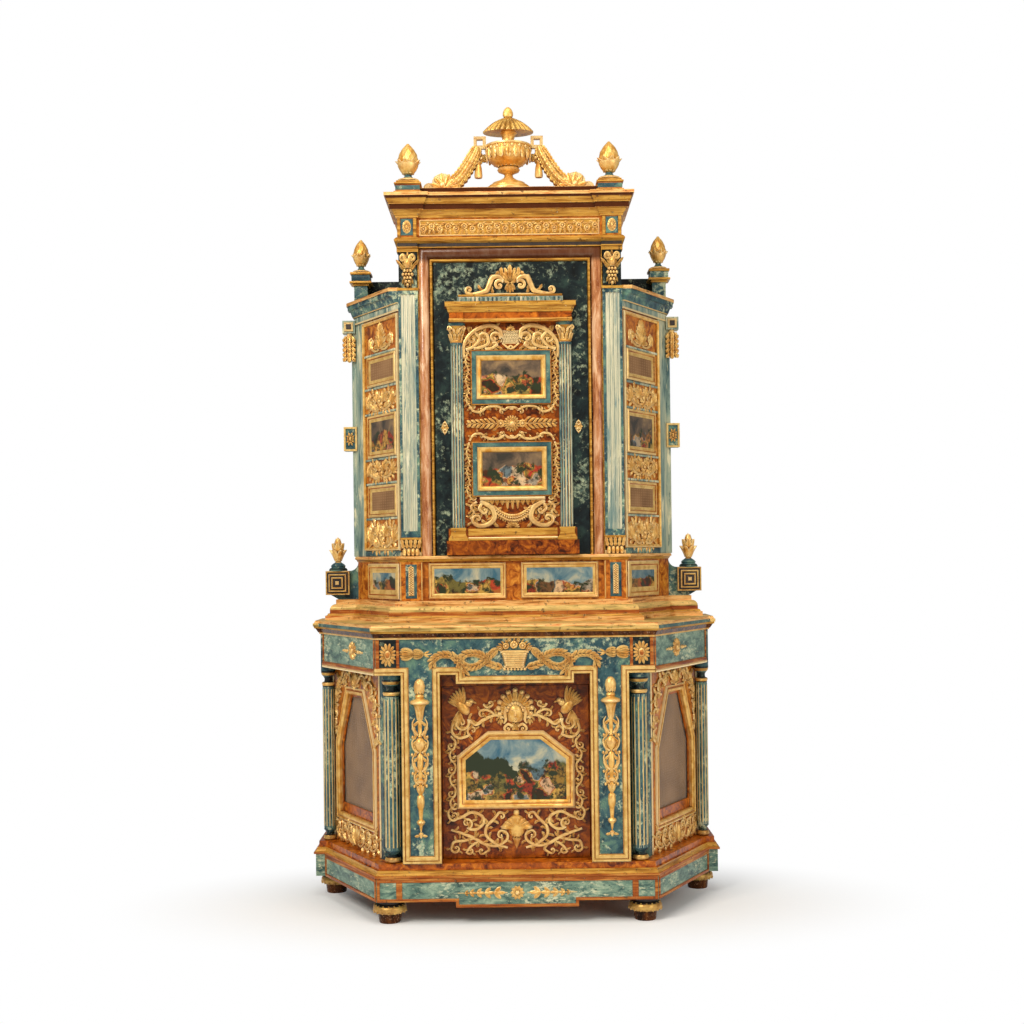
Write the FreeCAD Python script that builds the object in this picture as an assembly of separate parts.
import FreeCAD, Part
import math
import os
from FreeCAD import Vector

# A painted and gilt cabinet in two stages, in millimetres.
# Origin: middle of the standing face. +X to the right, +Y to the back, +Z up.

# Driving dimensions: plan of the base
back_y = 284.0
board = 22.0
cant_slope = 0.545
base_front_y = -262.0
base_front_half = 416.0
base_ear_y = 112.0
base_ear_width = 8.17
plinth_proud = 6.0
plinth_board = 36.0
plinth_ear_y = 104.0
plinth_ear_width = 28.53
cant_setback = 45.0
ear_setback = 48.0
base_end_width = 34.0

# Driving dimensions: heights of the base
foot_height = 70.0
plinth_height = 72.0
apron_drop = 18.0
apron_inset = 41.0
floor_moulding = 21.0
floor_edge_reach = 6.0
floor_socle = 18.0
socle_setback = 10.0
base_open_height = 564.0
base_frieze_height = 107.0
base_cornice_height = 43.0
base_cornice_reach = 22.0

# Driving dimensions: front of the base
stile_width = 116.0
stile_depth = 86.0
column_bay = 76.0
niche_depth = 68.0
lintel_ear = 48.0
lintel_height = 27.0
door_head_drop = 12.0
door_head_lip = 6.0
column_inset = 44.0
column_depth = 36.0
column_radius = 23.0
column_foot_height = 36.0
column_neck_height = 62.0
rear_column_inset = 20.0
rear_column_depth = 22.0
rear_column_radius = 19.0
foot_front_inset = 31.0
foot_front_depth = 47.0
foot_rear_margin = 5.0
foot_rear_depth = 99.0
foot_radius = 51.0
shelf_rise = 289.0
shelf_setback = 40.0
fillet_width = 12.0
fillet_proud = 5.0

# Driving dimensions: window of the canted frame
window_margin = 50.0
window_sill = 92.0
window_head = 78.0
window_chamfer_along = 82.0
window_chamfer_z = 168.0
pane_rebate = 10.0
pane_thickness = 4.0
lining_thickness = 6.0

# Driving dimensions: lower door
lower_door_depth = 67.0
door_thickness = 22.0
door_gap = 2.0
lower_pivot_inset = 32.0
lower_pivot_depth = 7.0
lower_frame_inset = 46.0
lower_frame_rise = 153.0
lower_frame_drop = 138.0
lower_frame_width = 24.0
lower_frame_chamfer_x = 94.0
lower_frame_chamfer_z = 74.0
frame_thickness = 16.0
picture_thickness = 6.0

# Driving dimensions: plan of the upper stage
upper_back_y = 275.0
upper_front_y = -70.0
pilaster_half = 349.0
pilaster_width = 61.0
wing_slope = 0.593
wing_start_depth = 12.0
wing_return = 31.0
wing_board = 20.0
wing_post_width = 40.0
upper_ear_width = 70.0
upper_ear_depth = 53.0
post_proud = 6.0
predella_depth = 6.0
side_board = 18.0
upper_shelf_setback = 60.0
upper_shelf_low = 300.0
upper_shelf_high = 600.0

# Driving dimensions: heights and reaches of the upper stage
upper_plinth_height = 65.0
upper_plinth_reach = 46.0
predella_height = 122.0
predella_moulding = 18.0
upper_floor_reach = 10.0
order_height = 960.0
entablature_height = 93.0
main_cornice_height = 72.0
main_cornice_reach = 38.0
beam_depth = 18.0
break_proud = 8.0
break_depth = 60.0
urn_stand_height = 37.0
urn_stand_reach = 6.0
wing_height = 767.0
wing_cornice_height = 73.0
wing_cornice_reach = 28.0
back_shoulder_inset = 35.0
back_shoulder_drop = 42.0

# Driving dimensions: surround and pivots of the upper door
surround_width = 45.5
surround_head = 42.0
surround_proud = 4.0
surround_depth = 44.0
surround_round = 12.0
surround_quirk = 9.0
upper_door_recess = 18.0
upper_pivot_inset = 6.0
upper_pivot_depth = 6.0
pivot_radius = 3.0
pivot_clearance = 0.05
pivot_depth = 16.0
thrust_clearance = 0.1
pin_end_gap = 1.0
collar_radius = 5.5
hinge_edge_round = 5.0

# Driving dimensions: aedicule and pictures on the upper door
aedicule_margin = 37.5
aedicule_depth = 44.0
aedicule_plinth_height = 44.0
aedicule_step = 38.0
aedicule_step_setback = 6.0
aedicule_column_inset = 36.0
aedicule_column_radius = 21.0
aedicule_foot_height = 20.0
aedicule_capital = 62.0
aedicule_beam_setback = 16.0
aedicule_entablature_height = 62.0
aedicule_cornice_reach = 14.0
crest_margin = 12.0
crest_strip = 19.0
crest_strip_proud = 6.0
crest_setback = 25.0
crest_shoulder = 62.0
crest_height = 98.0
crest_thickness = 14.0
door_frame_inset = 79.0
door_frame_width = 34.0
frame_gap_low = 99.0
frame_gap_middle = 114.0
frame_gap_high = 84.0

# Driving dimensions: lock
lock_rise = 400.0
bolt_height = 16.0
bolt_thickness = 8.0
bolt_length = 60.0
bolt_clearance = 0.5
bolt_play = 0.4
lock_wall = 6.0
lock_half = 35.0
escutcheon_inset = 20.5
escutcheon_radius = 11.0
escutcheon_thickness = 2.0
keyhole_radius = 2.5

# Driving dimensions: small work
dowel_radius = 8.0
dowel_length = 24.0
dowel_front_inset = 99.0
dowel_front_depth = 70.0
dowel_rear_inset = 85.0
dowel_rear_depth = 60.0
paw_proud = 9.0
paw_height = 52.0
herm_height = 124.0
herm_radius = 27.0
herm_proud = 16.0
finial_inset = 35.0
finial_depth = 12.0
finial_radius = 34.0
finial_height = 112.0
pedestal_half = 43.0
pedestal_height = 41.0
pedestal_cap_half = 36.0
pedestal_cap_height = 12.0
wing_finial_inset = 23.0
wing_finial_depth = 39.0
wing_finial_radius = 31.3
wing_finial_height = 103.0
wing_pedestal_half = 22.0
wing_pedestal_height = 98.0
wing_cap_half = 36.0
wing_cap_height = 26.0
urn_y = 20.0
urn_stand_inset = 99.0
urn_stand_front = 8.0
urn_stand_rear = 100.0
urn_radius = 73.0
urn_height = 176.0
urn_neck = 30.0
lid_radius = 79.0
lid_height = 80.0
handle_width = 32.0
handle_height = 34.0
handle_half_depth = 9.0
handle_rise = 132.0
handle_clearance = 0.2
arm_start_reach = 23.0
arm_start_rise = 156.0
arm_middle_reach = 51.0
arm_middle_rise = 88.0
arm_end_reach = 103.0
arm_end_rise = 34.0
arm_radius = 15.0
volute_reach = 133.0
volute_radius = 27.0
volute_seat_height = 8.0
wing_frame_along = 104.0
wing_frame_half = 82.0
wing_frame_base = 127.0
wing_frame_gap_low = 89.5
wing_frame_gap_high = 92.5
wing_frame_top = 121.0
predella_wing_along = 116.0
predella_wing_half = 98.0
predella_frame_gap = 24.0
predella_frame_margin = 18.0
predella_frame_edge = 5.0
small_frame_width = 17.0
small_frame_thickness = 9.0
small_picture = 4.0
bracket_reach = 50.0
bracket_depth = 28.0
bracket_board = 26.0
bracket_foot_cut = 40.0
bracket_edge_rise = 8.0
key_block = 79.0
key_proud = 30.0
flame_radius = 30.0
flame_height = 112.0
flame_setback = 7.0
tip_radius = 2.0
curve_steps = 5

# Shares of the wing frames' common height: bottom, middle and top
wing_frame_shares = (102 / 337, 137 / 337, 98 / 337)

# Steps of the key block: share of its width, share of its reach
key_step_shares = ((1.0, 16 / 30), (0.74, 23 / 30), (0.48, 1.0))

# Heights that follow from the above
plinth_z0 = foot_height
plinth_z1 = plinth_z0 + plinth_height
floor_z = plinth_z1 + floor_moulding + floor_socle
frieze_z0 = floor_z + base_open_height
frieze_z1 = frieze_z0 + base_frieze_height
base_top_z = frieze_z1 + base_cornice_height
predella_z0 = base_top_z + upper_plinth_height
predella_z1 = predella_z0 + predella_height
order_z0 = predella_z1 + predella_moulding
order_z1 = order_z0 + order_height
entablature_z1 = order_z1 + entablature_height
cornice_z1 = entablature_z1 + main_cornice_height
urn_z0 = cornice_z1 + urn_stand_height
wing_z1 = order_z0 + wing_height
wing_cornice_z1 = wing_z1 + wing_cornice_height
back_shoulder_z = order_z1 - back_shoulder_drop
lower_frame_z0 = floor_z + lower_frame_rise
lower_frame_z1 = frieze_z0 - lintel_height - door_head_drop - lower_frame_drop
window_z0 = floor_z + window_sill
window_z1 = frieze_z0 - window_head
shelf_height = floor_z + shelf_rise
lock_z = order_z0 + lock_rise

# Plan places of the base that follow from the above
base_ear_half = base_front_half + cant_slope * (base_ear_y - base_front_y) + base_ear_width
plinth_ear_half = base_front_half + cant_slope * (plinth_ear_y - base_front_y) + plinth_ear_width
pilaster_outer = base_front_half - column_bay
pilaster_inner = pilaster_outer - stile_width
niche_back_y = base_front_y + niche_depth
carcass_back_y = base_front_y + stile_depth
lintel_half = pilaster_inner - lintel_ear
apron_half = pilaster_inner - apron_inset
column_x = base_front_half - column_inset
column_y = base_front_y + column_depth
rear_column_x = base_ear_half - rear_column_inset
rear_column_y = base_ear_y + rear_column_depth
foot_front_x = base_front_half - foot_front_inset
foot_front_y = base_front_y + foot_front_depth
foot_rear_x = plinth_ear_half + plinth_proud - foot_radius - foot_rear_margin
foot_rear_y = back_y - foot_rear_depth
lower_door_y = base_front_y + lower_door_depth
lower_frame_half = pilaster_inner - lower_frame_inset

# Plan places of the upper stage that follow from the above
surround_outer = pilaster_half - pilaster_width
surround_inner = surround_outer - surround_width
surround_front_y = upper_front_y - surround_proud
surround_back_y = surround_front_y + surround_depth
upper_door_y = surround_front_y + upper_door_recess
inner_back_y = upper_back_y - board
wing_start_y = upper_front_y + wing_start_depth
wing_end_half = pilaster_half + wing_slope * (inner_back_y - wing_return - wing_start_y)
upper_ear_y = inner_back_y - upper_ear_depth
upper_ear_half = pilaster_half + wing_slope * (upper_ear_y - wing_start_y) + upper_ear_width
back_shoulder_half = wing_end_half - back_shoulder_inset
bracket_x1 = upper_ear_half + bracket_reach
bracket_y = inner_back_y - bracket_depth
finial_x = pilaster_half - finial_inset
finial_y = upper_front_y + finial_depth
wing_finial_x = wing_end_half - wing_finial_inset
wing_finial_y = inner_back_y - wing_finial_depth
urn_stand_half = pilaster_half - urn_stand_inset
aedicule_half = surround_inner - aedicule_margin
aedicule_column_x = aedicule_half - aedicule_column_inset
door_frame_half = aedicule_half - door_frame_inset
escutcheon_x = surround_inner - escutcheon_inset


def box(x0, x1, y0, y1, z0, z1):
    return Part.makeBox(x1 - x0, y1 - y0, z1 - z0, Vector(x0, y0, z0))


def polygon_wire(points, z):
    corners = [Vector(x, y, z) for x, y in points]
    return Part.makePolygon(corners + corners[:1])


def prism(points, z0, z1):
    return Part.Face(polygon_wire(points, z0)).extrude(Vector(0, 0, z1 - z0))


def front_panel(points, y0, y1):
    corners = [Vector(x, y0, z) for x, z in points]
    face = Part.Face(Part.makePolygon(corners + corners[:1]))
    return face.extrude(Vector(0, y1 - y0, 0))


def mirrored(shape):
    return shape.mirror(Vector(0, 0, 0), Vector(1, 0, 0))


def both_sides(shape):
    return [mirrored(shape), shape]


def joined(shapes):
    first = shapes[0]
    if len(shapes) == 1:
        return first
    return first.fuse(shapes[1:]).removeSplitter()


def symmetric(half_points):
    return half_points + [(-x, y) for x, y in reversed(half_points)]


# A moulding stretch from one (offset, height) to another: hollow, round or an S
def curve(start, end, kind):
    points = []
    for step in range(1, curve_steps + 1):
        t = step / curve_steps
        swing = {
            "hollow": (1 - math.cos(t * math.pi / 2), math.sin(t * math.pi / 2)),
            "round": (math.sin(t * math.pi / 2), 1 - math.cos(t * math.pi / 2)),
            "s": (t, (1 - math.cos(t * math.pi)) / 2),
        }[kind]
        points.append((start[0] + (end[0] - start[0]) * swing[0],
                       start[1] + (end[1] - start[1]) * swing[1]))
    return points


# A profile from shares of its reach and height: (offset, height), with a kind where it curves there
def profile(z0, height, reach, steps):
    points = []
    for step in steps:
        there = (step[0] * reach, z0 + step[1] * height)
        if len(step) == 3:
            points += curve(points[-1], there, step[2])
        else:
            points.append(there)
    return points


# A slab whose edge follows a moulding profile of (offset, height) points round a plan
def moulded(plan, profile):
    layers = []
    for (d0, z0), (d1, z1) in zip(profile, profile[1:]):
        if z1 > z0:
            wires = [polygon_wire(plan(d0), z0), polygon_wire(plan(d1), z1)]
            layers.append(Part.makeLoft(wires, True, True))
    return joined(layers)


# A turned piece: steps are (radius, height) for a line, or (mid radius, mid height, radius, height)
# for an arc through the mid point
def turned(x, y, z, start, steps):
    here = Vector(start[0], 0, start[1])
    edges = [Part.makeLine(Vector(0, 0, start[1]), here)]
    for step in steps:
        there = Vector(step[-2], 0, step[-1])
        if len(step) == 4:
            edges.append(Part.Arc(here, Vector(step[0], 0, step[1]), there).toShape())
        else:
            edges.append(Part.makeLine(here, there))
        here = there
    edges.append(Part.makeLine(here, Vector(0, 0, here.z)))
    edges.append(Part.makeLine(Vector(0, 0, here.z), Vector(0, 0, start[1])))
    solid = Part.Face(Part.Wire(edges)).revolve(Vector(0, 0, 0), Vector(0, 0, 1), 360)
    solid.translate(Vector(x, y, z))
    return solid


def save(node, *solids):
    shape = solids[0] if len(solids) == 1 else Part.makeCompound(list(solids))
    shape.exportStep(os.path.join("parts", node + ".step"))


# Plan of the base: front, canted side, small forward-facing ear, end and back
def base_line_x(y, offset):
    across = math.hypot(1, cant_slope)
    return base_front_half + cant_slope * (y - base_front_y) + offset * across


def canted_half(ear_y, ear_half, offset):
    return [
        (base_line_x(base_front_y - offset, offset), base_front_y - offset),
        (base_line_x(ear_y - offset, offset), ear_y - offset),
        (ear_half + offset, ear_y - offset),
        (ear_half + offset, back_y),
    ]


def frieze_half(offset):
    return canted_half(base_ear_y, base_ear_half, offset)


def frieze_plan(offset):
    return symmetric(frieze_half(offset))


def plinth_half(offset):
    return canted_half(plinth_ear_y, plinth_ear_half, offset + plinth_proud)


def plinth_plan(offset):
    return symmetric(plinth_half(offset))


# Feet: a bun with a leaf-carved ring, a neck above and a drum below
def foot(x, y):
    ring = foot_radius
    drum = 0.62 * foot_radius
    return turned(x, y, 0, (drum, 0), [
        (0.7 * ring, 0.43 * foot_height),
        (0.86 * ring, 0.44 * foot_height),
        (ring, 0.6 * foot_height, 0.82 * ring, 0.77 * foot_height),
        (0.7 * ring, 0.79 * foot_height),
        (0.7 * ring, foot_height),
    ])


save("feet_front", *both_sides(foot(foot_front_x, foot_front_y)))
save("feet_rear", *both_sides(foot(foot_rear_x, foot_rear_y)))

# Plinth: boards mitred round the plan, the front one with a dropped apron
outer = plinth_half(0)
inner = plinth_half(-plinth_board)
front_board = prism([outer[0], inner[0], (-inner[0][0], inner[0][1]), (-outer[0][0], outer[0][1])],
                    plinth_z0, plinth_z1)
apron = box(-apron_half, apron_half, outer[0][1], inner[0][1], plinth_z0 - apron_drop, plinth_z0)
save("plinth_front", joined([front_board, apron]))
cant_board = prism([outer[0], outer[1], inner[1], inner[0]], plinth_z0, plinth_z1)
save("plinth_cants", *both_sides(cant_board))
rear_y = back_y - plinth_board
plinth_end = prism([outer[1], outer[2], (outer[2][0], rear_y), (inner[1][0], rear_y), inner[1]],
                   plinth_z0, plinth_z1)
plinth_back = box(-outer[3][0], outer[3][0], rear_y, back_y, plinth_z0, plinth_z1)
save("plinth_rear", plinth_back, *both_sides(plinth_end))

# Base floor: a slab with the plinth's top moulding on its edge and a socle above it
floor_edge = plinth_z1 + floor_moulding
pivot_lower_x = -(pilaster_inner - door_gap - lower_pivot_inset)
pivot_lower_y = lower_door_y + lower_pivot_depth
edge_profile = profile(plinth_z1, floor_moulding, floor_edge_reach,
                       [(1, 0), (1, 0.28), (-0.67, 1, "round")])
base_floor = moulded(plinth_plan, edge_profile + [(-socle_setback, floor_edge), (-socle_setback, floor_z)])


def pin_hole(x, y, z0, z1):
    return Part.makeCylinder(pivot_radius, z1 - z0, Vector(x, y, z0))


base_floor = base_floor.cut(pin_hole(pivot_lower_x, pivot_lower_y, floor_z - pivot_depth, floor_z))
save("base_floor", base_floor)

# Back board, canted frames with their windows, end boards and boxed pilasters
base_side_half = base_ear_half - board
save("base_back", box(-base_side_half, base_side_half, back_y - board, back_y, floor_z, frieze_z1))
ear_front_y = base_ear_y + ear_setback
base_end = box(base_side_half - base_end_width, base_side_half, ear_front_y, back_y - board,
               floor_z, frieze_z0)
save("base_ends", *both_sides(base_end))
pilaster_plan = [
    (pilaster_inner, base_front_y), (pilaster_outer, base_front_y), (pilaster_outer, niche_back_y),
    (base_line_x(niche_back_y, -cant_setback), niche_back_y),
    (base_line_x(carcass_back_y, -cant_setback), carcass_back_y), (pilaster_inner, carcass_back_y),
]
save("base_stiles", *both_sides(prism(pilaster_plan, floor_z, frieze_z0)))


# A point on the canted frame's face: along the cant, behind its face and up
cant_across = math.hypot(1, cant_slope)
cant_length = (ear_front_y - carcass_back_y) * cant_across


def cant_point(along, behind, z):
    y = carcass_back_y + along / cant_across
    x = base_line_x(y, -cant_setback)
    return Vector(x - behind / cant_across, y + behind * cant_slope / cant_across, z)


# Window outline: upright sides, chamfered top corners
def window_outline(grow):
    low = window_margin - grow
    high = cant_length - window_margin + grow
    return [
        (low, window_z0 - grow), (high, window_z0 - grow),
        (high, window_z1 - window_chamfer_z + grow), (high - window_chamfer_along, window_z1 + grow),
        (low + window_chamfer_along, window_z1 + grow), (low, window_z1 - window_chamfer_z + grow),
    ]


def cant_plate(outline, behind, thickness):
    corners = [cant_point(along, behind, z) for along, z in outline]
    face = Part.Face(Part.makePolygon(corners + corners[:1]))
    inward = cant_point(0, 1, 0) - cant_point(0, 0, 0)
    return face.extrude(inward.multiply(thickness))


frame_plan = [
    (base_line_x(carcass_back_y, -cant_setback), carcass_back_y),
    (base_line_x(ear_front_y, -cant_setback), ear_front_y),
    (base_line_x(ear_front_y, -cant_setback - board), ear_front_y),
    (base_line_x(carcass_back_y, -cant_setback - board), carcass_back_y),
]
rebate_depth = board - pane_thickness - lining_thickness
cant_frame = prism(frame_plan, floor_z, frieze_z0)
cant_frame = cant_frame.cut(cant_plate(window_outline(0), 0, board))
cant_frame = cant_frame.cut(cant_plate(window_outline(pane_rebate), rebate_depth, board))
save("base_cants", *both_sides(cant_frame))
pane = cant_plate(window_outline(pane_rebate), rebate_depth, pane_thickness)
save("cant_panes", *both_sides(pane))
lining = cant_plate(window_outline(pane_rebate), rebate_depth + pane_thickness, lining_thickness)
save("cant_linings", *both_sides(lining))

# Frieze boards and the lintel that leaves an ear at each top corner of the door recess
outer = frieze_half(0)
inner = frieze_half(-board)
frieze_front = prism([outer[0], inner[0], (-inner[0][0], inner[0][1]), (-outer[0][0], outer[0][1])],
                     frieze_z0, frieze_z1)
frieze_side = prism(outer + [(base_side_half, back_y), inner[2], inner[1], inner[0]],
                    frieze_z0, frieze_z1)
save("base_frieze", frieze_front, *both_sides(frieze_side))
lintel_z0 = frieze_z0 - lintel_height
door_head_z = lintel_z0 - door_head_drop
lintel = box(-lintel_half, lintel_half, base_front_y, base_front_y + board, lintel_z0, frieze_z0)
door_head = box(-pilaster_inner, pilaster_inner, lower_door_y - door_head_lip, carcass_back_y,
                door_head_z, frieze_z0)
door_head = door_head.cut(pin_hole(pivot_lower_x, pivot_lower_y, door_head_z, door_head_z + pivot_depth))
save("base_rails", lintel, door_head)

# Gilt fillet along the recess edge: up the pilasters, round the ears and under the lintel
recess_outline = [
    (pilaster_inner, floor_z), (pilaster_inner, frieze_z0), (lintel_half, frieze_z0),
    (lintel_half, lintel_z0), (-lintel_half, lintel_z0), (-lintel_half, frieze_z0),
    (-pilaster_inner, frieze_z0), (-pilaster_inner, floor_z),
]
outer_outline = [
    (pilaster_inner + fillet_width, floor_z), (pilaster_inner + fillet_width, frieze_z0 + fillet_width),
    (lintel_half - fillet_width, frieze_z0 + fillet_width),
    (lintel_half - fillet_width, lintel_z0 + fillet_width),
]
outer_outline = outer_outline + [(-x, z) for x, z in reversed(outer_outline)]
fillet = front_panel(outer_outline, base_front_y - fillet_proud, base_front_y)
fillet = fillet.cut(front_panel(recess_outline, base_front_y - fillet_proud, base_front_y))
save("base_architrave", fillet)

# Base cornice: the moulded top of the lower stage
dowel_places = []
for side in (-1, 1):
    dowel_places.append((side * (wing_end_half - dowel_rear_inset), upper_back_y - dowel_rear_depth))
    dowel_places.append((side * (pilaster_half - dowel_front_inset), upper_front_y + dowel_front_depth))


def dowel_holes(z0, z1):
    return [Part.makeCylinder(dowel_radius, z1 - z0, Vector(x, y, z0)) for x, y in dowel_places]


base_cornice = moulded(frieze_plan, profile(frieze_z1, base_cornice_height, base_cornice_reach, [
    (0.18, 0), (0.18, 0.09), (0.77, 0.44, "s"), (0.86, 0.44), (0.86, 0.58),
    (1, 0.58), (1, 0.81), (0.73, 1, "round"),
]))
base_cornice = base_cornice.cut(dowel_holes(base_top_z - dowel_length / 2, base_top_z))
save("base_cornice", base_cornice)


# Columns: bun foot, shaft, ring, hollow neck and a broad cap
def column(x, y, radius):
    height = frieze_z0 - floor_z
    bun = column_foot_height
    neck = column_neck_height
    return turned(x, y, floor_z, (0.86 * radius, 0), [
        (1.06 * radius, 0.22 * bun, 0.86 * radius, 0.47 * bun),
        (0.6 * radius, 0.53 * bun),
        (0.6 * radius, 0.72 * bun),
        (radius, bun),
        (radius, height - neck),
        (1.1 * radius, height - 0.935 * neck, radius, height - 0.87 * neck),
        (0.72 * radius, height - 0.71 * neck, radius, height - 0.485 * neck),
        (1.22 * radius, height - 0.355 * neck),
        (1.22 * radius, height),
    ])


save("columns_front", *both_sides(column(column_x, column_y, column_radius)))
save("columns_rear", *both_sides(column(rear_column_x, rear_column_y, rear_column_radius)))
shelf_front_y = carcass_back_y + shelf_setback
shelf_half_plan = [
    (base_line_x(shelf_front_y, -cant_setback - board), shelf_front_y),
    (base_line_x(ear_front_y, -cant_setback - board), ear_front_y),
    (base_side_half - base_end_width, ear_front_y),
    (base_side_half - base_end_width, back_y - board),
]
save("base_shelf", prism(symmetric(shelf_half_plan), shelf_height, shelf_height + board))


# Picture frames: a ring of the given width round an outline of (x, z) points, and its panel
def inset_outline(points, width):
    corners = [Vector(x, 0, z) for x, z in points]
    wire = Part.makePolygon(corners + corners[:1])
    return wire.makeOffset2D(-width, 2)


def picture_frame(points, width, y0, y1):
    opening = Part.Face(inset_outline(points, width))
    opening.translate(Vector(0, y0, 0))
    return front_panel(points, y0, y1).cut(opening.extrude(Vector(0, y1 - y0, 0)))


def picture_panel(points, width, y0, y1):
    face = Part.Face(inset_outline(points, width))
    face.translate(Vector(0, y0, 0))
    return face.extrude(Vector(0, y1 - y0, 0))


def rectangle(x, z, half, height):
    return [(x - half, z - height / 2), (x + half, z - height / 2),
            (x + half, z + height / 2), (x - half, z + height / 2)]


# A door leaf hung at its left edge on pins let into its top and bottom
def door_leaf(half, y, z0, z1, pivot_x, pivot_y):
    leaf = box(-half, half, y, y + door_thickness, z0, z1)
    hole_radius = pivot_radius + pivot_clearance
    for z in (z0, z1 - pivot_depth):
        leaf = leaf.cut(Part.makeCylinder(hole_radius, pivot_depth, Vector(pivot_x, pivot_y, z)))
    return leaf


# Pivot pins: the lower one has a collar that carries the leaf
def pivot_pins(x, y, z0, z1):
    reach = pivot_depth + door_gap - pin_end_gap
    low = pin_hole(x, y, z0 - pivot_depth, z0 + reach)
    collar = Part.makeCylinder(collar_radius, door_gap - thrust_clearance, Vector(x, y, z0))
    high = pin_hole(x, y, z1 - reach, z1 + pivot_depth)
    return [joined([low, collar]), high]


# Lower door: leaf, chamfered picture frame, picture and pins
save("lower_door", door_leaf(pilaster_inner - door_gap, lower_door_y, floor_z + door_gap,
                             door_head_z - door_gap, pivot_lower_x, pivot_lower_y))
save("lower_door_pivots", *pivot_pins(pivot_lower_x, pivot_lower_y, floor_z, door_head_z))
lower_outline = [
    (-lower_frame_half, lower_frame_z0), (lower_frame_half, lower_frame_z0),
    (lower_frame_half, lower_frame_z1 - lower_frame_chamfer_z),
    (lower_frame_half - lower_frame_chamfer_x, lower_frame_z1),
    (lower_frame_chamfer_x - lower_frame_half, lower_frame_z1),
    (-lower_frame_half, lower_frame_z1 - lower_frame_chamfer_z),
]
save("lower_door_frame", picture_frame(lower_outline, lower_frame_width,
                                       lower_door_y - frame_thickness, lower_door_y))
save("lower_door_picture", picture_panel(lower_outline, lower_frame_width,
                                         lower_door_y - picture_thickness, lower_door_y))


# Plan of the upper stage: pilaster front, receding wing, wing end and back
wing_across = math.hypot(1, wing_slope)


def wing_line_x(y, offset):
    return pilaster_half + wing_slope * (y - wing_start_y) + offset * wing_across


def wing_line_y(x, offset):
    return wing_start_y + (x - pilaster_half - offset * wing_across) / wing_slope


def upper_half(offset):
    corner = pilaster_half + post_proud + offset
    end = wing_end_half + offset
    return [
        (corner, upper_front_y - post_proud - offset), (corner, wing_line_y(corner, offset)),
        (end, wing_line_y(end, offset)), (end, upper_back_y),
    ]


def upper_plan(offset):
    return symmetric(upper_half(offset))


def upper_plinth_plan(offset):
    ear_y = upper_ear_y - offset
    ear = upper_ear_half + offset
    corner = upper_half(offset)[:2]
    return symmetric(corner + [(wing_line_x(ear_y, offset), ear_y), (ear, ear_y), (ear, upper_back_y)])


# Stepped plinth with its dowels
upper_plinth = moulded(upper_plinth_plan, profile(base_top_z, upper_plinth_height, upper_plinth_reach, [
    (1, 0), (1, 0.2), (0.83, 0.31, "round"), (0.7, 0.31), (0.7, 0.49),
    (0.35, 0.77, "hollow"), (0.3, 0.77), (0.3, 1),
]))
upper_plinth = upper_plinth.cut(dowel_holes(base_top_z, base_top_z + dowel_length / 2))
save("upper_plinth", upper_plinth)
save("dowels", *dowel_holes(base_top_z - dowel_length / 2, base_top_z + dowel_length / 2))

# Predella: boards behind the pictures, a block under each pilaster, and the floor moulding above
block_x0 = pilaster_half - pilaster_width - post_proud
block_x1 = pilaster_half + post_proud
block_front_y = upper_front_y - post_proud
predella_front_y = upper_front_y + predella_depth
predella_front = box(-block_x0, block_x0, predella_front_y, predella_front_y + board,
                     predella_z0, predella_z1)
strip_start = (block_x1, wing_line_y(block_x1, 0))
strip_back_x = wing_end_half - wing_board
predella_wing = prism([
    strip_start, (wing_end_half, wing_line_y(wing_end_half, 0)), (wing_end_half, inner_back_y),
    (strip_back_x, inner_back_y), (strip_back_x, wing_line_y(strip_back_x, -wing_board)),
    (block_x1, wing_line_y(block_x1, -wing_board)),
], predella_z0, predella_z1)
save("predella_boards", predella_front, *both_sides(predella_wing))
block = box(block_x0, block_x1, block_front_y, predella_front_y + board, predella_z0, predella_z1)
save("predella_posts", *both_sides(block))
pivot_upper_x = -(surround_inner - door_gap - upper_pivot_inset)
pivot_upper_y = upper_door_y + upper_pivot_depth
upper_floor = moulded(upper_plan, profile(predella_z1, predella_moulding, upper_floor_reach, [
    (0, 0), (0.8, 0.5, "s"), (1, 0.5), (1, 0.83), (0.7, 1),
]))
upper_floor = upper_floor.cut(pin_hole(pivot_upper_x, pivot_upper_y, order_z0 - pivot_depth, order_z0))
save("upper_floor", upper_floor)

# Back board with shoulders, side boards and shelves
predella_back = box(-wing_end_half, wing_end_half, inner_back_y, upper_back_y, predella_z0, predella_z1)
upper_back = [
    box(-wing_end_half, wing_end_half, inner_back_y, upper_back_y, order_z0, wing_z1),
    box(-back_shoulder_half, back_shoulder_half, inner_back_y, upper_back_y, order_z0, back_shoulder_z),
    box(-pilaster_half, pilaster_half, inner_back_y, upper_back_y, order_z0, entablature_z1),
]
save("upper_back", joined(upper_back), predella_back)
side_x0 = pilaster_half - side_board
side = box(side_x0, pilaster_half, surround_back_y, inner_back_y, order_z0, order_z1)
save("upper_sides", *both_sides(side))
shelf = box(-side_x0, side_x0, surround_back_y + upper_shelf_setback, inner_back_y, 0, side_board)
shelves = []
for height in (upper_shelf_low, upper_shelf_high):
    copy = shelf.copy()
    copy.translate(Vector(0, 0, order_z0 + height))
    shelves.append(copy)
save("upper_shelves", *shelves)

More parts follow.
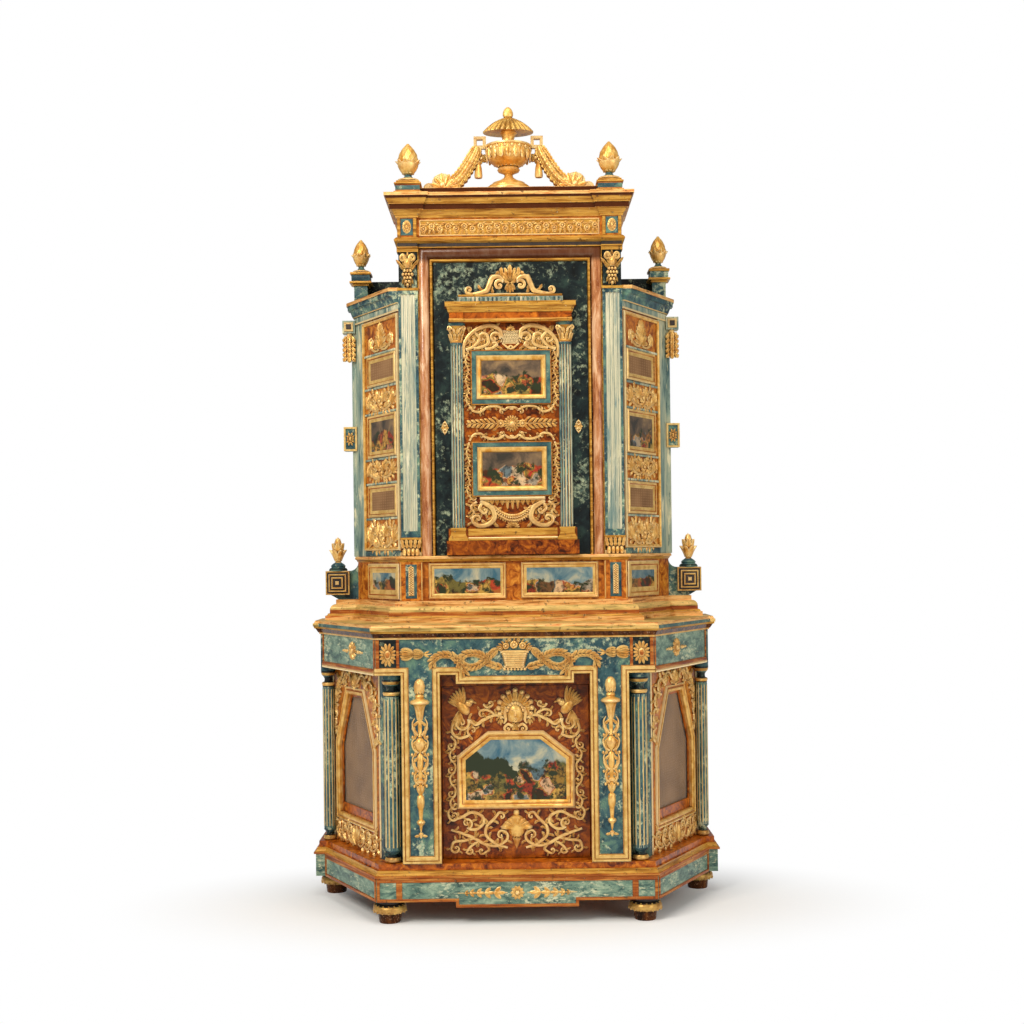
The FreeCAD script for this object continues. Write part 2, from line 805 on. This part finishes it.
# Pilasters: shaft, paw foot below and a swelling capital block above
pilaster_x0 = pilaster_half - pilaster_width
pilaster_mid = pilaster_half - pilaster_width / 2
shaft = box(pilaster_x0, pilaster_half, upper_front_y, surround_back_y, order_z0, order_z1)
paw = prism([(pilaster_x0, upper_front_y - paw_proud), (pilaster_half, upper_front_y - paw_proud),
             (pilaster_half, upper_front_y), (pilaster_x0, upper_front_y)],
            order_z0, order_z0 + paw_height)
head = turned(pilaster_mid, upper_front_y, order_z1 - herm_height, (0.37 * herm_radius, 0), [
    (0.89 * herm_radius, 0.3 * herm_height, 0.96 * herm_radius, 0.5 * herm_height),
    (0.81 * herm_radius, 0.85 * herm_height, herm_radius, herm_height),
])
head = head.common(box(pilaster_x0, pilaster_half, upper_front_y - herm_proud, upper_front_y,
                       order_z0, order_z1))
save("pilasters", *both_sides(joined([shaft, paw, head])))

# Door surround: one moulded section, run up both sides and across, mitred at the corners
surround_head_z = order_z1 - surround_head


def surround_section(along):
    low = Vector(*along(0, surround_back_y))
    inner = Vector(*along(0, surround_front_y + surround_round))
    crest = Vector(*along(0.42, surround_front_y))
    quirk = Vector(*along(0.8, surround_front_y + surround_quirk))
    outer_front = Vector(*along(1, surround_front_y + surround_quirk))
    outer_back = Vector(*along(1, surround_back_y))
    edges = [Part.makeLine(low, inner), Part.Arc(inner, crest, quirk).toShape(),
             Part.makeLine(quirk, outer_front), Part.makeLine(outer_front, outer_back),
             Part.makeLine(outer_back, low)]
    return Part.Face(Part.Wire(edges))


def upright_place(share, y):
    return (surround_inner + share * surround_width, y, order_z0)


def head_place(share, y):
    return (-surround_outer, y, surround_head_z + share * surround_head)


def mitre(points):
    return front_panel(points, surround_front_y - board, surround_back_y + board)


upright = surround_section(upright_place).extrude(Vector(0, 0, order_height))
upright = upright.common(mitre([(surround_inner, order_z0), (surround_outer, order_z0),
                                (surround_outer, order_z1), (surround_inner, surround_head_z)]))
across_head = surround_section(head_place).extrude(Vector(2 * surround_outer, 0, 0))
across_head = across_head.common(mitre([(-surround_inner, surround_head_z),
                                        (surround_inner, surround_head_z),
                                        (surround_outer, order_z1), (-surround_outer, order_z1)]))
across_head = across_head.cut(pin_hole(pivot_upper_x, pivot_upper_y, surround_head_z,
                                       surround_head_z + pivot_depth))
save("door_surround", across_head, *both_sides(upright))


# Plan of a block with a given half width, front and back, moulded on its front and ends
def block_plan(x0, x1, front_y, rear_y):
    def plan(offset):
        return [(x0 - offset, front_y - offset), (x1 + offset, front_y - offset),
                (x1 + offset, rear_y), (x0 - offset, rear_y)]
    return plan


# Entablature: front beam broken forward over the pilasters, and returns to the back
beam_back_y = surround_back_y + beam_depth
front_beam = box(-pilaster_half, pilaster_half, upper_front_y, beam_back_y, order_z1, entablature_z1)
beam_break = box(pilaster_x0, pilaster_half, upper_front_y - break_proud, upper_front_y,
                 order_z1, entablature_z1)
side_return = box(side_x0, pilaster_half, beam_back_y, inner_back_y, order_z1, entablature_z1)
save("entablature", joined([front_beam] + both_sides(beam_break)), *both_sides(side_return))

# Main cornice, with the same breaks, and the stand of the urn
cornice_profile = profile(entablature_z1, main_cornice_height, main_cornice_reach, [
    (0.13, 0), (0.13, 0.07), (0.45, 0.31, "s"), (0.58, 0.31), (0.58, 0.53), (0.66, 0.53),
    (0.66, 0.58), (0.95, 0.86, "s"), (1, 0.86), (1, 1),
])
cornice = [moulded(block_plan(-pilaster_half, pilaster_half, upper_front_y, upper_back_y),
                   cornice_profile)]
cornice += both_sides(moulded(block_plan(pilaster_x0, pilaster_half, upper_front_y - break_proud,
                                         upper_front_y + break_depth), cornice_profile))
save("main_cornice", joined(cornice))
stand_plan = block_plan(-urn_stand_half, urn_stand_half, upper_front_y + urn_stand_front,
                        urn_y + urn_stand_rear)
save("urn_stand", moulded(stand_plan, profile(cornice_z1, urn_stand_height, urn_stand_reach, [
    (1, 0), (1, 0.27), (0, 0.27), (0, 0.78), (0.83, 0.78), (0.83, 1),
])))


# Urn, lid and the scroll arms that sweep down from its handles
body = urn_height - urn_neck
urn = turned(0, urn_y, urn_z0, (urn_radius, 0), [
    (urn_radius, 0.04 * body),
    (0.33 * urn_radius, 0.1 * body, 0.18 * urn_radius, 0.34 * body),
    (0.19 * urn_radius, 0.38 * body),
    (0.49 * urn_radius, 0.43 * body, 0.19 * urn_radius, 0.49 * body),
    (0.27 * urn_radius, 0.52 * body),
    (0.9 * urn_radius, 0.63 * body, urn_radius, 0.86 * body),
    (0.99 * urn_radius, body),
    (0.22 * urn_radius, body + 0.13 * urn_neck),
    (0.22 * urn_radius, urn_height),
])
save("urn", urn)
lid = turned(0, urn_y, urn_z0 + urn_height, (lid_radius, 0), [
    (lid_radius, 0.06 * lid_height),
    (0.73 * lid_radius, 0.43 * lid_height, 0.23 * lid_radius, 0.58 * lid_height),
    (0.1 * lid_radius, 0.63 * lid_height),
    (0.2 * lid_radius, 0.83 * lid_height, tip_radius, lid_height),
])
save("urn_lid", lid)
arm_top = Vector(urn_radius + arm_start_reach, urn_y, urn_z0 + arm_start_rise)
arm_mid = Vector(urn_radius + arm_middle_reach, urn_y, urn_z0 + arm_middle_rise)
arm_end = Vector(urn_radius + arm_end_reach, urn_y, urn_z0 + arm_end_rise)
arm_arc = Part.Arc(arm_top, arm_mid, arm_end)
arm_path = Part.Wire([arm_arc.toShape()])
arm_ring = Part.Wire([Part.makeCircle(arm_radius, arm_top, arm_arc.tangent(arm_arc.FirstParameter)[0])])
arm = arm_path.makePipeShell([arm_ring], True, False)
volute_x = urn_radius + volute_reach
volute = Part.makeCylinder(volute_radius, 2 * arm_radius,
                           Vector(volute_x, urn_y - arm_radius, urn_z0 + volute_radius), Vector(0, 1, 0))
volute_seat = box(volute_x - volute_radius, volute_x + volute_radius, urn_y - arm_radius,
                  urn_y + arm_radius, urn_z0, urn_z0 + volute_seat_height)
handle_x = urn_radius + handle_clearance
handle_z = urn_z0 + handle_rise
handle = box(handle_x, handle_x + handle_width, urn_y - handle_half_depth, urn_y + handle_half_depth,
             handle_z, handle_z + handle_height)
save("urn_scrolls", *both_sides(joined([arm, volute, volute_seat, handle])))


# A finial: disc, hollow neck, leaf cup and egg
def finial(x, y, z, radius, height):
    return turned(x, y, z, (0.76 * radius, 0), [
        (0.76 * radius, 0.07 * height),
        (0.29 * radius, 0.13 * height, 0.29 * radius, 0.3 * height),
        (radius, 0.41 * height, radius, 0.61 * height),
        (0.76 * radius, 0.61 * height),
        (0.71 * radius, 0.82 * height, tip_radius, height),
    ])


def pedestal(x, y, z0, z1, half, cap_half, cap_height):
    stem = box(x - half, x + half, y - half, y + half, z0, z1 - cap_height)
    cap = box(x - cap_half, x + cap_half, y - cap_half, y + cap_half, z1 - cap_height, z1)
    return joined([stem, cap])


pedestal_z1 = cornice_z1 + pedestal_height
corner_set = []
for solid in (pedestal(finial_x, finial_y, cornice_z1, pedestal_z1,
                       pedestal_half, pedestal_cap_half, pedestal_cap_height),
              finial(finial_x, finial_y, pedestal_z1, finial_radius, finial_height)):
    corner_set += both_sides(solid)
save("corner_finials", *corner_set)

# Wings: panel, end post with its return, roof cornice, pedestal and finial
wing_post_y = wing_line_y(wing_end_half, 0) - wing_post_width / wing_across
wing_post_x = wing_line_x(wing_post_y, 0)
wing_back_x = wing_post_x - wing_board / wing_across
wing_back_y = wing_post_y + wing_board * wing_slope / wing_across
wing_panel = prism([
    (pilaster_half, wing_start_y), (wing_post_x, wing_post_y), (wing_back_x, wing_back_y),
    (pilaster_half, wing_line_y(pilaster_half, -wing_board)),
], order_z0, wing_z1)
save("wing_panels", *both_sides(wing_panel))
wing_end = prism([
    (wing_post_x, wing_post_y), (wing_end_half, wing_line_y(wing_end_half, 0)),
    (wing_end_half, inner_back_y), (strip_back_x, inner_back_y),
    (strip_back_x, wing_line_y(strip_back_x, -wing_board)), (wing_back_x, wing_back_y),
], order_z0, wing_z1)
save("wing_ends", *both_sides(wing_end))


def wing_roof_plan(offset):
    end = wing_end_half + offset
    return [(pilaster_half, wing_start_y), (wing_line_x(wing_start_y, offset), wing_start_y),
            (end, wing_line_y(end, offset)), (end, inner_back_y), (pilaster_half, inner_back_y)]


wing_roof = moulded(wing_roof_plan, profile(wing_z1, wing_cornice_height, wing_cornice_reach, [
    (0.18, 0), (0.18, 0.08), (0.07, 0.08), (0.07, 0.33), (0.21, 0.33), (0.71, 0.66, "s"),
    (0.86, 0.66), (0.86, 0.85), (1, 0.85), (1, 1),
]))
save("wing_cornices", *both_sides(wing_roof))
wing_pedestal_z1 = wing_cornice_z1 + wing_pedestal_height
wing_set = []
for solid in (pedestal(wing_finial_x, wing_finial_y, wing_cornice_z1, wing_pedestal_z1,
                       wing_pedestal_half, wing_cap_half, wing_cap_height),
              finial(wing_finial_x, wing_finial_y, wing_pedestal_z1, wing_finial_radius,
                     wing_finial_height)):
    wing_set += both_sides(solid)
save("wing_finials", *wing_set)


# Small panel frames and their pictures, on the wings and on the predella
def on_wing(shape):
    shape.rotate(Vector(0, 0, 0), Vector(0, 0, 1), math.degrees(math.atan2(1, wing_slope)))
    shape.translate(Vector(pilaster_half, wing_start_y, 0))
    return shape


predella_mid_z = (predella_z0 + predella_z1) / 2
frames = []
pictures = []
predella_frame_height = predella_height - 2 * predella_frame_edge
wing_gaps = (wing_frame_gap_low, wing_frame_gap_high, wing_frame_top)
frames_height = wing_height - wing_frame_base - sum(wing_gaps)
panel_layout = []
frame_z = order_z0 + wing_frame_base
for share, gap in zip(wing_frame_shares, wing_gaps):
    tall = share * frames_height
    panel_layout.append((wing_frame_along, frame_z + tall / 2, wing_frame_half, tall))
    frame_z += tall + gap
panel_layout.append((predella_wing_along, predella_mid_z, predella_wing_half, predella_frame_height))
for along, mid_z, half, tall in panel_layout:
    outline = rectangle(along, mid_z, half, tall)
    frames += both_sides(on_wing(picture_frame(outline, small_frame_width, -small_frame_thickness, 0)))
    pictures += both_sides(on_wing(picture_panel(outline, small_frame_width, -small_picture, 0)))
frame_x1 = block_x0 - predella_frame_margin
outline = rectangle((predella_frame_gap + frame_x1) / 2, predella_mid_z,
                    (frame_x1 - predella_frame_gap) / 2, predella_frame_height)
front = predella_front_y
frames += both_sides(picture_frame(outline, small_frame_width, front - small_frame_thickness, front))
pictures += both_sides(picture_panel(outline, small_frame_width, front - small_picture, front))
save("panel_frames", *frames)
save("panel_pictures", *pictures)

# Side brackets with a stepped key block, and their flames
bracket_z0 = predella_z0
key_x0 = bracket_x1 - key_block
sweep = key_x0 - wing_end_half
key_z1 = predella_z1 - sweep
key_z0 = key_z1 - key_block
sweep_end = Vector(wing_end_half, bracket_y, key_z1 + sweep)
outline_points = [Vector(wing_end_half, bracket_y, bracket_z0),
                  Vector(bracket_x1 - bracket_foot_cut, bracket_y, bracket_z0),
                  Vector(bracket_x1, bracket_y, key_z0 + bracket_edge_rise),
                  Vector(bracket_x1, bracket_y, key_z1),
                  Vector(key_x0, bracket_y, key_z1)]
edges = [Part.makeLine(a, b) for a, b in zip(outline_points, outline_points[1:])]
sweep_share = 1 - math.sqrt(0.5)
sweep_mid = Vector(wing_end_half + sweep_share * sweep, bracket_y, key_z1 + sweep_share * sweep)
edges.append(Part.Arc(outline_points[-1], sweep_mid, sweep_end).toShape())
edges.append(Part.makeLine(sweep_end, outline_points[0]))
bracket = Part.Face(Part.Wire(edges)).extrude(Vector(0, bracket_board, 0))
key_mid_x = (key_x0 + bracket_x1) / 2
key_mid_z = (key_z0 + key_z1) / 2
key_steps = [bracket]
for share, reach_share in key_step_shares:
    half = share * key_block / 2
    key_steps.append(box(key_mid_x - half, key_mid_x + half, bracket_y - reach_share * key_proud, bracket_y,
                         key_mid_z - half, key_mid_z + half))
save("side_brackets", *both_sides(joined(key_steps)))
flame = turned(key_mid_x, bracket_y + flame_setback, key_z1, (flame_radius, 0), [
    (flame_radius, 0.05 * flame_height),
    (0.87 * flame_radius, 0.18 * flame_height, 0.33 * flame_radius, 0.23 * flame_height),
    (0.27 * flame_radius, 0.3 * flame_height),
    (0.93 * flame_radius, 0.52 * flame_height, 0.43 * flame_radius, 0.68 * flame_height),
    (0.5 * flame_radius, 0.82 * flame_height, tip_radius, flame_height),
])
save("side_flames", *both_sides(flame))

# Upper door: leaf with a rounded hinge edge, hung on pins like the lower one
upper_leaf_half = surround_inner - door_gap
upper_leaf_z0 = order_z0 + door_gap
upper_leaf_z1 = surround_head_z - door_gap
upper_leaf = door_leaf(upper_leaf_half, upper_door_y, upper_leaf_z0, upper_leaf_z1,
                       pivot_upper_x, pivot_upper_y)
hinge_corner = Vector(-upper_leaf_half, upper_door_y, (upper_leaf_z0 + upper_leaf_z1) / 2)
hinge_edges = [edge for edge in upper_leaf.Edges
               if edge.CenterOfMass.distanceToPoint(hinge_corner) < 1.0]
save("upper_door", upper_leaf.makeFillet(hinge_edge_round, hinge_edges))
save("upper_door_pivots", *pivot_pins(pivot_upper_x, pivot_upper_y, order_z0, surround_head_z))

# Aedicule on the leaf: plinth, half columns, entablature and crest
front = upper_door_y
aedicule_z0 = upper_leaf_z0
base_z = aedicule_z0 + aedicule_plinth_height
capital_z1 = (upper_leaf_z1 - crest_margin - crest_height - crest_strip
              - aedicule_entablature_height)
plinth_block = moulded(block_plan(-aedicule_half, aedicule_half, front - aedicule_depth, front),
                       [(0, aedicule_z0), (0, base_z)])
step_half = aedicule_half - aedicule_step_setback
step_depth = aedicule_depth - aedicule_step_setback
base_step = moulded(block_plan(-step_half, step_half, front - step_depth, front),
                    [(0, base_z), (0, base_z + aedicule_step)])
save("aedicule_plinth", joined([plinth_block, base_step]))
column_z0 = base_z + aedicule_step
column_height = capital_z1 - column_z0
radius = aedicule_column_radius
half_column = turned(aedicule_column_x, front, column_z0, (1.3 * radius, 0), [
    (1.4 * radius, 0.4 * aedicule_foot_height, 1.2 * radius, 0.8 * aedicule_foot_height),
    (radius, aedicule_foot_height),
    (0.9 * radius, column_height - aedicule_capital),
    (1.1 * radius, column_height - 0.65 * aedicule_capital, 1.5 * radius,
     column_height - 0.16 * aedicule_capital),
    (1.5 * radius, column_height),
])
half_column = half_column.common(box(0, aedicule_half, front - aedicule_depth, front,
                                     column_z0, capital_z1))
save("aedicule_columns", *both_sides(half_column))
roof_z = capital_z1 + aedicule_entablature_height
entablature_half = aedicule_half - aedicule_beam_setback
entablature_depth = aedicule_depth - aedicule_cornice_reach
roof_plan = block_plan(-entablature_half, entablature_half, front - entablature_depth, front)
save("aedicule_entablature", moulded(roof_plan, profile(capital_z1, aedicule_entablature_height,
                                                        aedicule_cornice_reach, [
    (0, 0), (0, 0.48), (0.21, 0.48), (0.79, 0.77, "s"), (1, 0.77), (1, 1),
])))
crest_half = entablature_half - crest_setback
strip_z = roof_z + crest_strip
crest_top = Vector(0, front, strip_z + crest_height)
shoulder = Vector(crest_shoulder, front, strip_z + 0.5 * crest_height)
foot_end = Vector(crest_half, front, strip_z)
left_shoulder = Vector(-crest_shoulder, front, shoulder.z)
left_foot = Vector(-crest_half, front, strip_z)
sweep_width = crest_half - crest_shoulder
sweep_rise = shoulder.z - strip_z
sweep_radius = (sweep_width ** 2 + sweep_rise ** 2) / (2 * sweep_rise)
half_turn = math.asin(sweep_width / sweep_radius) / 2
sag = Vector(crest_half - sweep_radius * math.sin(half_turn), front,
             strip_z + sweep_radius * (1 - math.cos(half_turn)))
left_sag = Vector(-sag.x, front, sag.z)
crest_edges = [
    Part.makeLine(left_foot, foot_end), Part.Arc(foot_end, sag, shoulder).toShape(),
    Part.Arc(shoulder, crest_top, left_shoulder).toShape(),
    Part.Arc(left_shoulder, left_sag, left_foot).toShape(),
]
crest = Part.Face(Part.Wire(crest_edges)).extrude(Vector(0, -crest_thickness, 0))
strip = box(-crest_half, crest_half, front - crest_thickness - crest_strip_proud, front,
            roof_z, strip_z)
save("aedicule_crest", joined([strip, crest]))

# Picture frames and pictures of the leaf
door_frames = []
door_pictures = []
door_frame_height = (column_height - frame_gap_low - frame_gap_middle - frame_gap_high) / 2
door_frame_low_z = column_z0 + frame_gap_low + door_frame_height / 2
door_frame_high_z = capital_z1 - frame_gap_high - door_frame_height / 2
for mid_z in (door_frame_low_z, door_frame_high_z):
    outline = rectangle(0, mid_z, door_frame_half, door_frame_height)
    door_frames.append(picture_frame(outline, door_frame_width, front - frame_thickness, front))
    door_pictures.append(picture_panel(outline, door_frame_width, front - picture_thickness, front))
save("door_frames", *door_frames)
save("door_pictures", *door_pictures)

# Lock: a case behind the leaf, its bolt, and a keyhole plate with a matching blind one
leaf_back = upper_door_y + door_thickness
bolt_y0 = surround_back_y + bolt_clearance
bolt_x1 = upper_leaf_half
bolt = box(bolt_x1 - bolt_length, bolt_x1, bolt_y0, bolt_y0 + bolt_thickness,
           lock_z - bolt_height / 2, lock_z + bolt_height / 2)
save("lock_bolt", bolt)
case = box(bolt_x1 - bolt_length - lock_wall, bolt_x1, leaf_back,
           bolt_y0 + bolt_thickness + lock_wall, lock_z - lock_half, lock_z + lock_half)
slot_half = bolt_height / 2 + bolt_play
case = case.cut(box(bolt_x1 - bolt_length - bolt_play, bolt_x1, bolt_y0 - bolt_play,
                    bolt_y0 + bolt_thickness + bolt_play, lock_z - slot_half, lock_z + slot_half))
save("lock_case", case)
plate = Part.makeCylinder(escutcheon_radius, escutcheon_thickness,
                          Vector(escutcheon_x, front, lock_z), Vector(0, -1, 0))
keyhole = Part.makeCylinder(keyhole_radius, escutcheon_thickness,
                            Vector(escutcheon_x, front, lock_z), Vector(0, -1, 0))
save("escutcheons", *both_sides(plate.cut(keyhole)))
